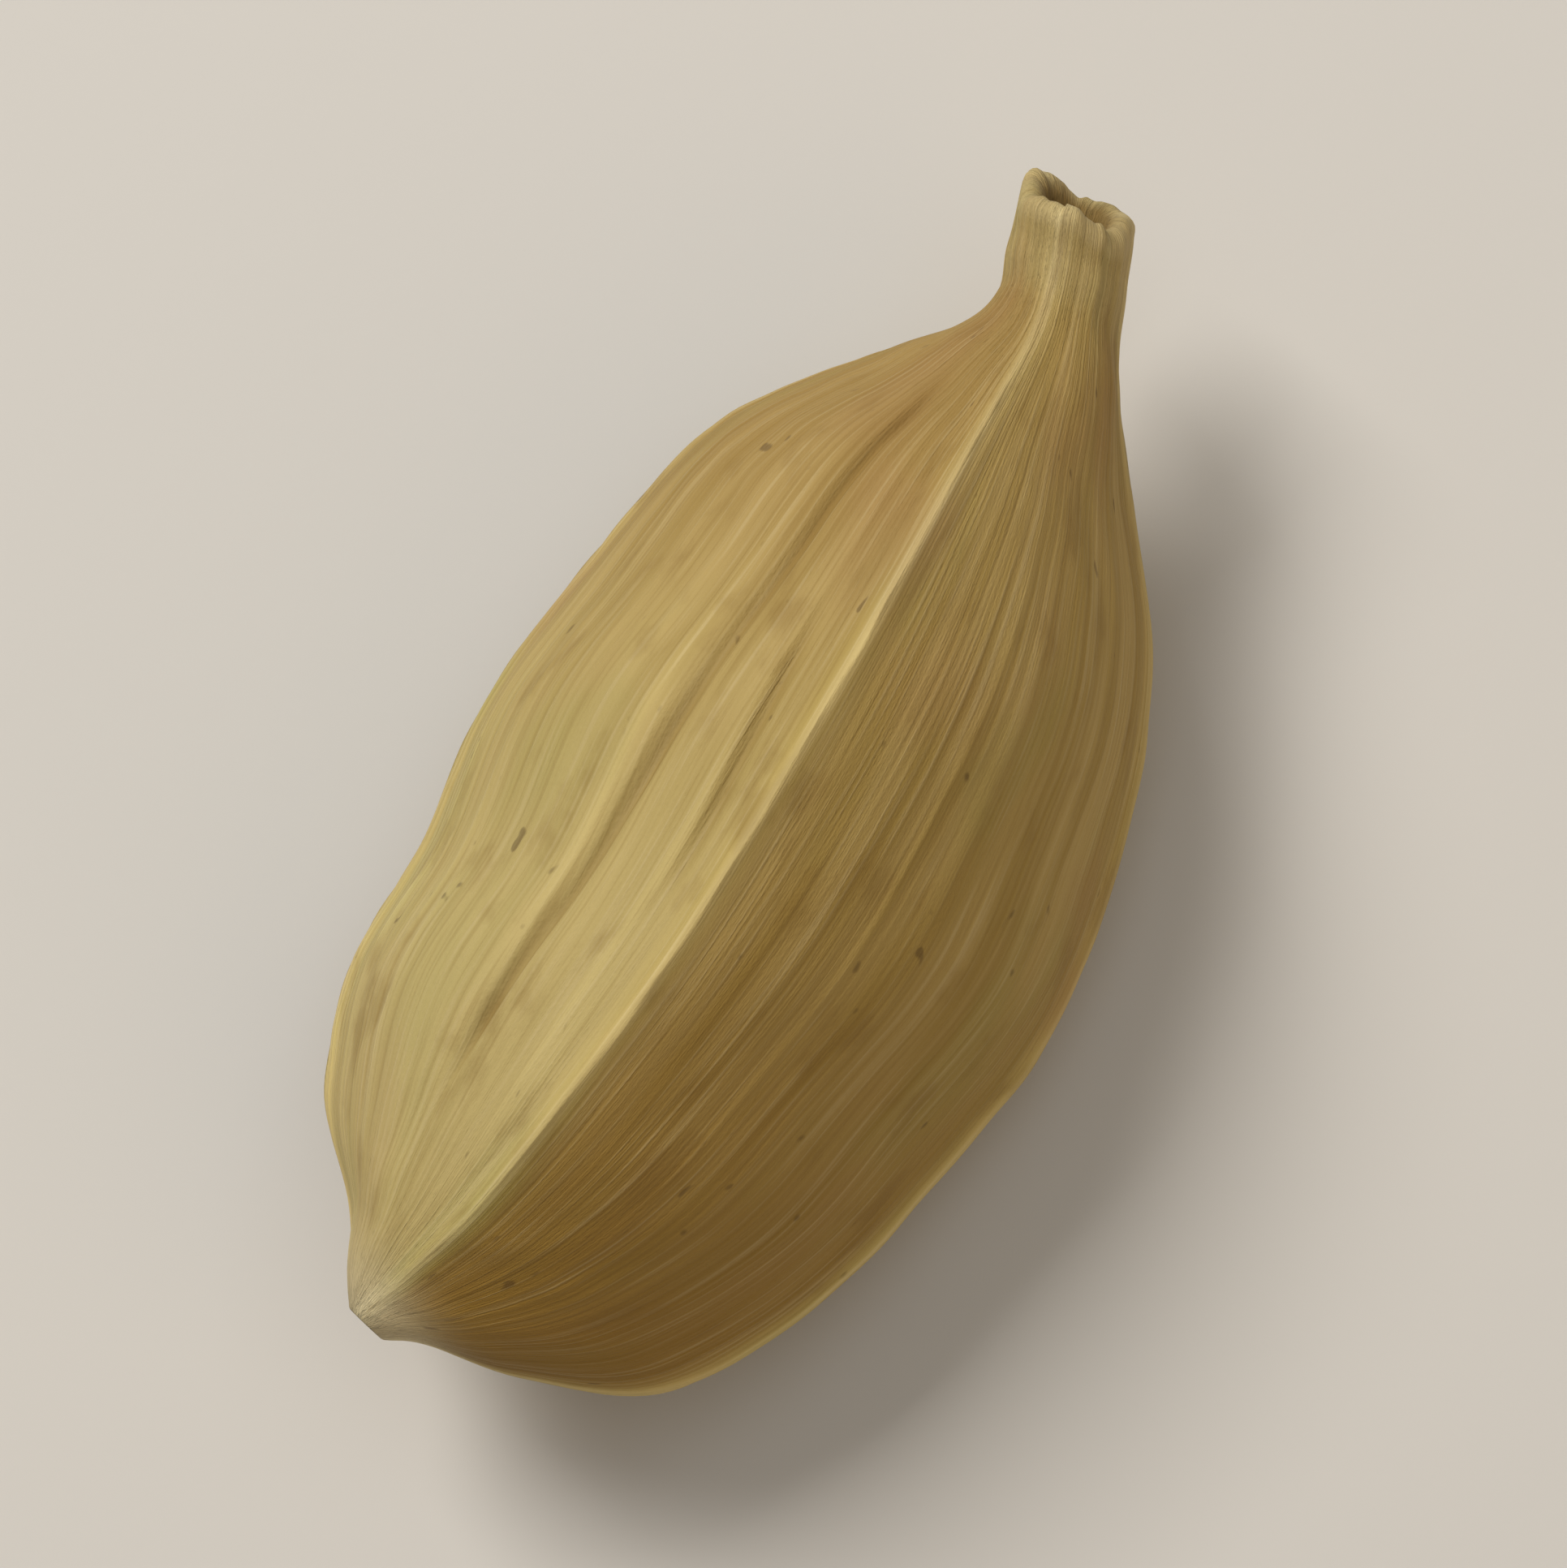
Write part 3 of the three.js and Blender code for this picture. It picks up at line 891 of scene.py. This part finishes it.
    def grain_space(self, count: int, around: int) -> np.ndarray:
        """Rolls the skin out along a straight drum, so that patterns run with the fibres.

        Args:
            count: How many rings the skin has.
            around: How many points each ring has.

        Returns:
            A place in millimetres for each point, and for the points at both ends.
        """
        drum = (self.width + self.height) / 4
        angle = 2 * math.pi * np.arange(around) / around
        before = self.along[0] - self.scar_pitch * np.arange(self.scar_rings, 0, -1)
        pit_rings = count - self.rings - self.scar_rings
        beyond = self.along[-1] + self.pit_pitch * np.arange(1, pit_rings + 1)
        along = np.concatenate([before, self.along, beyond])
        place = np.zeros((count, around, 3))
        place[:, :, 0] = drum * np.cos(angle)
        place[:, :, 1] = drum * np.sin(angle)
        place[:, :, 2] = along[:, None]
        ends = [[0, 0, along[0]], [0, 0, along[-1]]]
        return np.vstack([place.reshape(-1, 3), ends])


@dataclass(frozen=True)
class MattePaint:
    """Rolled matte emulsion on a studio table: pale, even, and soft to the eye."""

    colour: str = "#cccccb"
    roughness: float = 0.85
    stipple_mm: float = 0.8  # as a short roller leaves it
    stipple_depth_mm: float = 0.02
    stipple_strength: float = 0.15

    def material(self) -> bpy.types.Material:
        """Builds the paint's material.

        Returns:
            A material with the faint stipple that a roller leaves.
        """
        material = bpy.data.materials.new("matte_studio_paint")
        material.use_nodes = True
        tree = material.node_tree
        tree.nodes.clear()
        place = add_node(tree, "ShaderNodeTexCoord")
        stipple = add_node(tree, "ShaderNodeTexNoise", None, {
            "Vector": place.outputs["Object"], "Scale": 1 / (self.stipple_mm * MM), "Detail": 2.0,
        })
        bump = add_node(tree, "ShaderNodeBump", None, {
            "Strength": self.stipple_strength, "Distance": self.stipple_depth_mm * MM,
            "Height": stipple.outputs["Fac"],
        })
        paint = add_node(tree, "ShaderNodeBsdfPrincipled", None, {
            "Base Color": linear_rgba(self.colour), "Roughness": self.roughness,
            "Normal": bump.outputs["Normal"],
        })
        add_node(tree, "ShaderNodeOutputMaterial", None, {"Surface": paint.outputs["BSDF"]})
        return material


@dataclass(frozen=True)
class SoftLight:
    """A square softbox aimed at the pod. Directions are in the camera's picture."""

    name: str
    right: float
    up: float
    forward: float
    distance_mm: float
    side_mm: float
    watts: float
    colour: str


@dataclass
class Studio:
    """The pale floor, the softboxes and the camera at the photograph's angle."""

    tilt_deg: float = 12.0  # how far the camera leans off the vertical
    lean: tuple[float, float] = (-0.51, -0.86)  # the way it leans, over the floor
    pod_angle_deg: float = 59.0  # the pod's length over the picture's lower edge
    lens_mm: float = 200.0
    view_mm: float = 17.3  # the side of the picture, at the pod
    floor_mm: float = 700.0
    floor_gap_mm: float = 0.004  # keeps the floor and the pod's flat spot from lying in one plane
    sky: str = "#f0e8da"
    sky_strength: float = 0.24
    paint: MattePaint = field(default_factory=MattePaint)
    lights: tuple[SoftLight, ...] = (
        SoftLight("key", -0.6, 0.75, 0.75, 240, 110, 0.51, "#fff8ee"),
        SoftLight("fill", 0.9, -0.5, 0.9, 300, 240, 0.17, "#ffd69c"),
        SoftLight("top", 0.1, 0.2, 1.0, 320, 260, 0.16, "#ffffff"),
    )

    def axes(self) -> tuple[Vector, Vector, Vector]:
        """Works out the picture's right, its up and the way back to the camera.

        Returns:
            Three unit vectors at right angles to each other.
        """
        tilt = math.radians(self.tilt_deg)
        lean = Vector((*self.lean, 0)).normalized() * math.sin(tilt)
        back = Vector((lean.x, lean.y, math.cos(tilt)))
        pod = Vector((1, 0, 0)) - back * back.x
        pod.normalize()
        side = back.cross(pod)
        angle = math.radians(self.pod_angle_deg)
        right = pod * math.cos(angle) - side * math.sin(angle)
        up = pod * math.sin(angle) + side * math.cos(angle)
        return right, up, back

    def build(self, low: Vector, high: Vector) -> None:
        """Puts up the camera, the lights, the floor and the sky round the pod.

        Args:
            low: The pod's lowest corner.
            high: The pod's highest corner.
        """
        middle = (low + high) / 2
        self.make_camera(middle)
        for light in self.lights:
            self.make_light(light, middle)
        self.make_floor(low.z - self.floor_gap_mm * MM)
        self.make_sky()

    def make_camera(self, middle: Vector) -> None:
        """Sets the camera over the pod, turned so that the pod lies as it does in the photograph.

        Args:
            middle: The middle of the pod's box.
        """
        data = bpy.data.cameras.new("photo_camera")
        data.lens = self.lens_mm
        camera = bpy.data.objects.new("photo_camera", data)
        bpy.context.scene.collection.objects.link(camera)
        right, up, back = self.axes()
        distance = self.view_mm * MM * data.lens / data.sensor_width
        data.clip_start, data.clip_end = 0.05 * distance, 100 * distance
        turn = Matrix((right, up, back)).transposed()
        camera.matrix_world = Matrix.Translation(middle + back * distance) @ turn.to_4x4()
        bpy.context.scene.camera = camera

    def make_light(self, light: SoftLight, middle: Vector) -> None:
        """Hangs one softbox, aimed at the pod.

        Args:
            light: The softbox.
            middle: The middle of the pod's box.
        """
        right, up, back = self.axes()
        towards = (right * light.right + up * light.up + back * light.forward).normalized()
        data = bpy.data.lights.new(light.name, "AREA")
        data.size = light.side_mm * MM
        data.energy = light.watts
        data.color = linear_rgba(light.colour)[:3]
        lamp = bpy.data.objects.new(light.name, data)
        lamp.location = middle + towards * light.distance_mm * MM
        lamp.rotation_mode = "QUATERNION"
        lamp.rotation_quaternion = towards.to_track_quat("Z", "Y")
        bpy.context.scene.collection.objects.link(lamp)

    def make_floor(self, level: float) -> None:
        """Lays the floor just under the pod.

        Args:
            level: The floor's height.
        """
        half = self.floor_mm * MM / 2
        corners = [(x * half, y * half, level) for x, y in ((-1, -1), (1, -1), (1, 1), (-1, 1))]
        mesh = bpy.data.meshes.new("studio_floor")
        mesh.from_pydata(corners, [], [(0, 1, 2, 3)])
        mesh.materials.append(self.paint.material())
        floor = bpy.data.objects.new("studio_floor", mesh)
        bpy.context.scene.collection.objects.link(floor)

    def make_sky(self) -> None:
        """Fills the room with faint, even light, and shows colours as they are."""
        world = bpy.data.worlds.new("studio_room")
        world.use_nodes = True
        tree = world.node_tree
        tree.nodes.clear()
        air = add_node(tree, "ShaderNodeBackground", None, {
            "Color": linear_rgba(self.sky), "Strength": self.sky_strength,
        })
        add_node(tree, "ShaderNodeOutputWorld", None, {"Surface": air.outputs["Background"]})
        bpy.context.scene.world = world
        bpy.context.scene.view_settings.view_transform = "Standard"


def main() -> None:
    """Builds the pod and its studio, and reports each piece."""
    logging.basicConfig(level=logging.INFO, format="%(name)s: %(message)s")
    husk = Husk().build()
    log.info("%s: %d points, %d faces", husk.name, len(husk.data.vertices), len(husk.data.polygons))
    studio = Studio()
    studio.build(*CAD_BOX)
    log.info("studio: %d lights", len(studio.lights))


if __name__ == "__main__":
    main()
